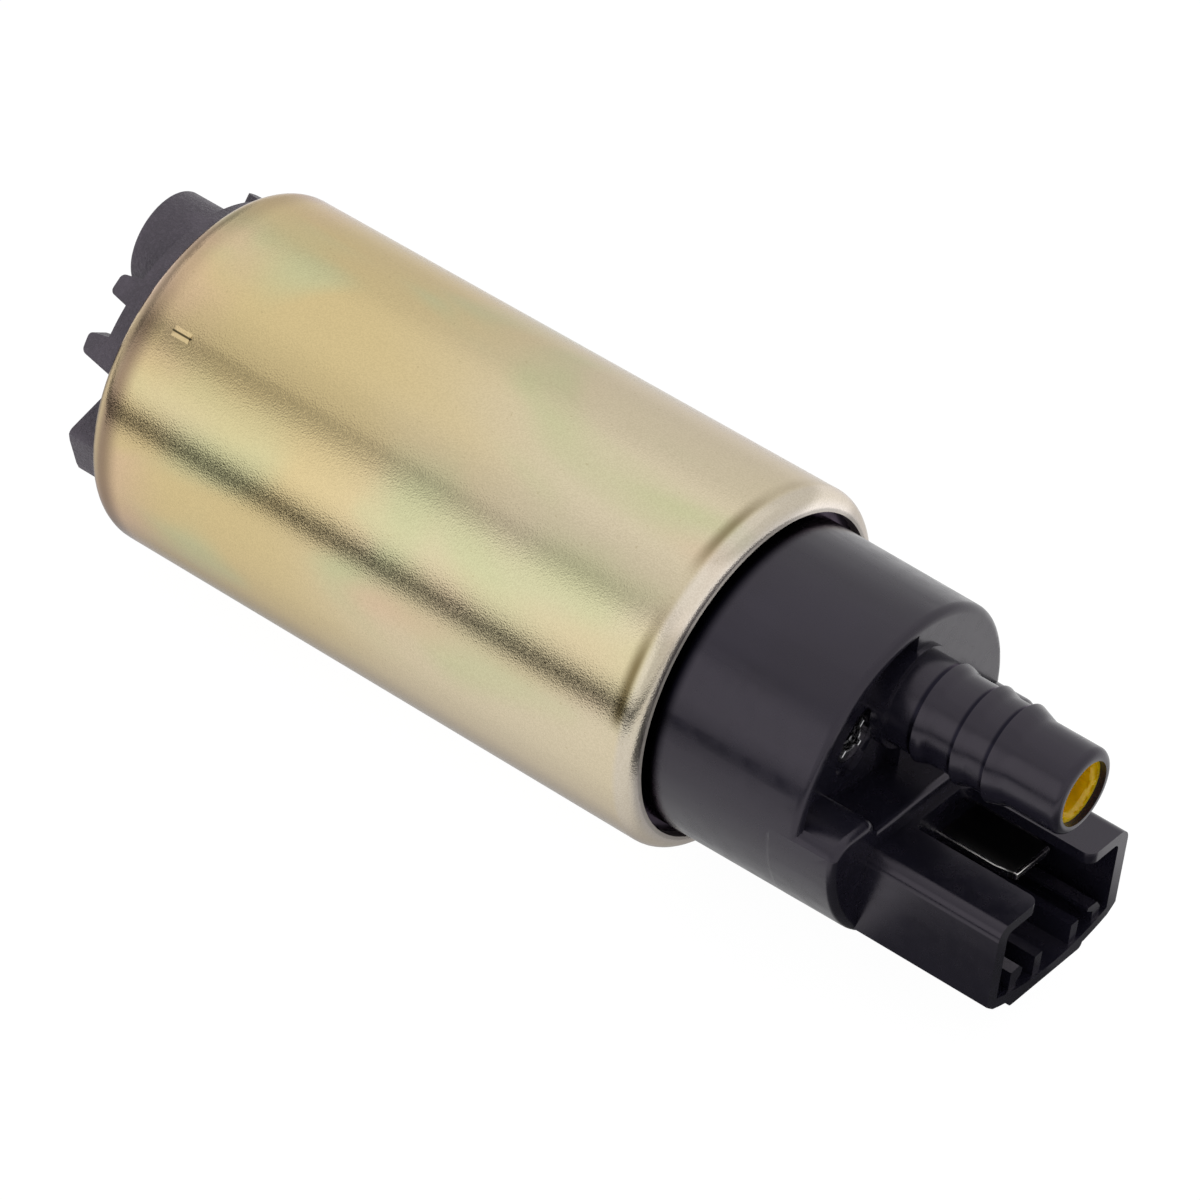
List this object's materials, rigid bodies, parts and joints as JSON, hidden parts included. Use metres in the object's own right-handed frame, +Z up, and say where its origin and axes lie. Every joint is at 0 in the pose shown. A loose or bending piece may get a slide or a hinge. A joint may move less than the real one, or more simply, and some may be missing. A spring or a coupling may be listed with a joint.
{
  "type": "in-tank electric fuel pump",
  "caption": "In-tank electric fuel pump: turbine pump and brush motor in a rolled steel can, with barbed outlet nipple, connector socket and inlet spigot.",
  "frame": {"origin": "on the can's axis, at the middle of the can's length", "axes": "+X along the axis towards the outlet nipple and connector, +Z up towards the nipple and the inlet spigot, -Z towards the connector; the pump lies on its can"},
  "size_m": [0.1111, 0.038, 0.038],
  "materials": {
    "can_steel": "zinc plated and chromated, pale gold with soft iridescence",
    "cover_plastic": "dark grey glass-filled moulding, fine sparkle grain",
    "cap_plastic": "black moulding, satin gloss",
    "sleeve_plastic": "translucent yellow moulding",
    "terminal_tin": "tinned brass",
    "retainer_steel": "bright spring steel",
    "spring_steel": "spring wire and strip",
    "hard_steel": "ground steel",
    "impeller_resin": "phenolic",
    "casing_resin": "dark grey moulding",
    "holder_plastic": "black moulding",
    "bush_bronze": "sintered bronze",
    "washer_plastic": "natural plastic",
    "core_steel": "laminated steel",
    "insulator_plastic": "natural plastic",
    "copper_wire": "enamelled copper",
    "commutator_resin": "phenolic",
    "bar_carbon": "carbon",
    "brush_carbon": "carbon",
    "magnet_ferrite": "ferrite",
    "contact_brass": "brass strip",
    "choke_ferrite": "ferrite",
    "seal_rubber": "fluor rubber",
    "valve_plastic": "natural plastic"
  },
  "bodies": {
    "pump": {"can": "can_steel", "inlet_cover": "cover_plastic", "thrust_button": "hard_steel", "pump_casing": "casing_resin", "inlet_bush": "bush_bronze", "magnet_left": "magnet_ferrite", "magnet_right": "magnet_ferrite", "magnet_clips": "spring_steel", "brush_holder": "holder_plastic", "outlet_bush": "bush_bronze", "brush_spring_left": "spring_steel", "brush_spring_right": "spring_steel", "brush_lead_left": "copper_wire", "brush_lead_right": "copper_wire", "contact_plates": "contact_brass", "choke_cores": "choke_ferrite", "choke_coils": "copper_wire", "terminal_left": "terminal_tin", "terminal_right": "terminal_tin", "outlet_cap": "cap_plastic", "seal_ring": "seal_rubber", "check_valve_spring": "spring_steel", "valve_sleeve": "sleeve_plastic", "relief_spring": "spring_steel", "relief_retainer": "retainer_steel"},
    "rotor": {"shaft": "hard_steel", "impeller": "impeller_resin", "thrust_washer": "washer_plastic", "armature_core": "core_steel", "core_insulators": "insulator_plastic", "windings": "copper_wire", "commutator_base": "commutator_resin", "commutator_bars": "bar_carbon"},
    "brush_left_body": {"brush_left": "brush_carbon"},
    "brush_right_body": {"brush_right": "brush_carbon"},
    "check_valve_body": {"check_valve": "valve_plastic", "valve_seal": "seal_rubber"},
    "relief_ball_body": {"relief_ball": "hard_steel"}
  },
  "joints": [
    {"name": "rotor_spin", "type": "hinge", "parent": "pump", "child": "rotor", "pos_m": [0, 0, 0], "axis": [1, 0, 0], "continuous": true},
    {"name": "brush_left_slide", "type": "slide", "parent": "pump", "child": "brush_left_body", "axis": [1, 0, 0], "range_m": [0, 0.0025], "stiffness_N_per_m": 200, "springref_m": -0.006, "deforming": ["brush_spring_left", "brush_lead_left"]},
    {"name": "brush_right_slide", "type": "slide", "parent": "pump", "child": "brush_right_body", "axis": [1, 0, 0], "range_m": [0, 0.0025], "stiffness_N_per_m": 200, "springref_m": -0.006, "deforming": ["brush_spring_right", "brush_lead_right"]},
    {"name": "check_valve_lift", "type": "slide", "parent": "pump", "child": "check_valve_body", "axis": [1, 0, 0], "range_m": [0, 0.0018], "stiffness_N_per_m": 150, "springref_m": -0.004, "deforming": ["check_valve_spring"]},
    {"name": "relief_valve_lift", "type": "slide", "parent": "pump", "child": "relief_ball_body", "axis": [1, 0, 0], "range_m": [0, 0.0008], "stiffness_N_per_m": 1000, "springref_m": -0.0037, "deforming": ["relief_spring"]}
  ]
}
